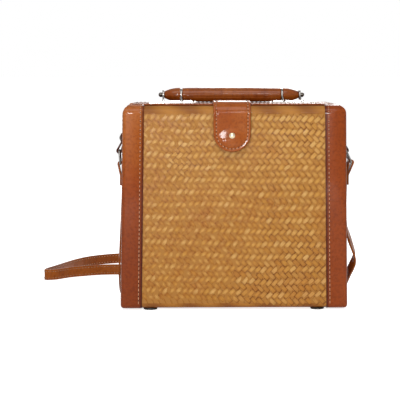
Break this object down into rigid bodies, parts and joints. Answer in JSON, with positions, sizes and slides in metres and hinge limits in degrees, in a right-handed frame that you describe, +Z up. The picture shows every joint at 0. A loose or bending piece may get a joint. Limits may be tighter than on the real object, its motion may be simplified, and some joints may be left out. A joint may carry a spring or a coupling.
{
  "type": "shoulder bag",
  "caption": "Box-shaped shoulder bag of plaited bamboo with leather edges, a hinged lid with a magnetic tab, a folding handle on wire bails and a leather strap on side rings.",
  "frame": {"origin": "on the ground under the middle of the case's base", "axes": "+X to the right seen from the front, +Y to the back, +Z up"},
  "size_m": [0.3388, 0.3675, 0.2228],
  "materials": {
    "wood": "plain sanded board",
    "plait": "lacquered split bamboo plait",
    "leather": "glossy chestnut leather",
    "dark_leather": "glossy dark chestnut leather",
    "foot_plastic": "matt black",
    "lining_cloth": "plain woven cloth",
    "brass": "polished",
    "steel": "plated",
    "stud_metal": "polished",
    "chrome": "bright plated"
  },
  "bodies": {
    "case": {"back_board": "wood", "back_left_band": "leather", "back_left_foot": "foot_plastic", "back_rail": "wood", "back_right_band": "leather", "back_right_foot": "foot_plastic", "back_weave": "plait", "base_board": "wood", "bottom_leather": "leather", "front_board": "wood", "front_left_band": "leather", "front_left_foot": "foot_plastic", "front_rail": "wood", "front_right_band": "leather", "front_right_foot": "foot_plastic", "front_weave": "plait", "keeper_disc": "steel", "left_board": "wood", "left_chape": "leather", "left_chape_rivet": "chrome", "left_hinge_case_leaf": "brass", "left_rail": "wood", "left_side_leather": "leather", "left_strap_end": "leather", "lining": "lining_cloth", "right_board": "wood", "right_chape": "leather", "right_chape_rivet": "chrome", "right_hinge_case_leaf": "brass", "right_rail": "wood", "right_side_leather": "leather", "right_strap_end": "leather", "strap_run": "leather"},
    "lid": {"lid_leather": "leather", "lid_board": "wood", "closure_tab": "leather", "tab_magnet": "steel", "tab_stud": "stud_metal", "left_hinge_lid_leaf": "brass", "right_hinge_lid_leaf": "brass", "left_hinge_pin": "brass", "right_hinge_pin": "brass", "left_handle_plate": "chrome", "right_handle_plate": "chrome", "left_plate_rivets": "chrome", "right_plate_rivets": "chrome"},
    "left_bail": {"left_bail": "chrome"},
    "right_bail": {"right_bail": "chrome"},
    "grip_assembly": {"handle_rod": "chrome", "handle_grip": "dark_leather", "left_sleeve": "dark_leather", "right_sleeve": "dark_leather", "left_cap_nut": "chrome", "right_cap_nut": "chrome"},
    "left_ring": {"left_ring": "chrome"},
    "right_ring": {"right_ring": "chrome"}
  },
  "joints": [
    {"name": "lid_hinge", "type": "hinge", "parent": "case", "child": "lid", "pos_m": [0, 0.0392, 0.20425], "axis": [-1, 0, 0], "range_deg": [0, 105]},
    {"name": "left_bail_hinge", "type": "hinge", "parent": "lid", "child": "left_bail", "pos_m": [-0.0619, 0.002, 0.2083], "axis": [1, 0, 0], "range_deg": [0, 142]},
    {"name": "right_bail_hinge", "type": "hinge", "parent": "lid", "child": "right_bail", "pos_m": [0.0619, 0.002, 0.2083], "axis": [1, 0, 0], "range_deg": [0, 142]},
    {"name": "grip_turn", "type": "hinge", "parent": "left_bail", "child": "grip_assembly", "pos_m": [0, 0.02717, 0.2152], "axis": [1, 0, 0], "continuous": true},
    {"name": "left_ring_swing", "type": "hinge", "parent": "case", "child": "left_ring", "pos_m": [-0.1162, 0, 0.15858], "axis": [0, 1, 0], "range_deg": [0, 150], "deforming": ["left_strap_end"]},
    {"name": "right_ring_swing", "type": "hinge", "parent": "case", "child": "right_ring", "pos_m": [0.1162, 0, 0.15858], "axis": [0, -1, 0], "range_deg": [-28, 122], "deforming": ["right_strap_end"]}
  ],
  "couplings": [
    {"joint": "right_bail_hinge", "follows": "left_bail_hinge", "ratio": 1}
  ]
}
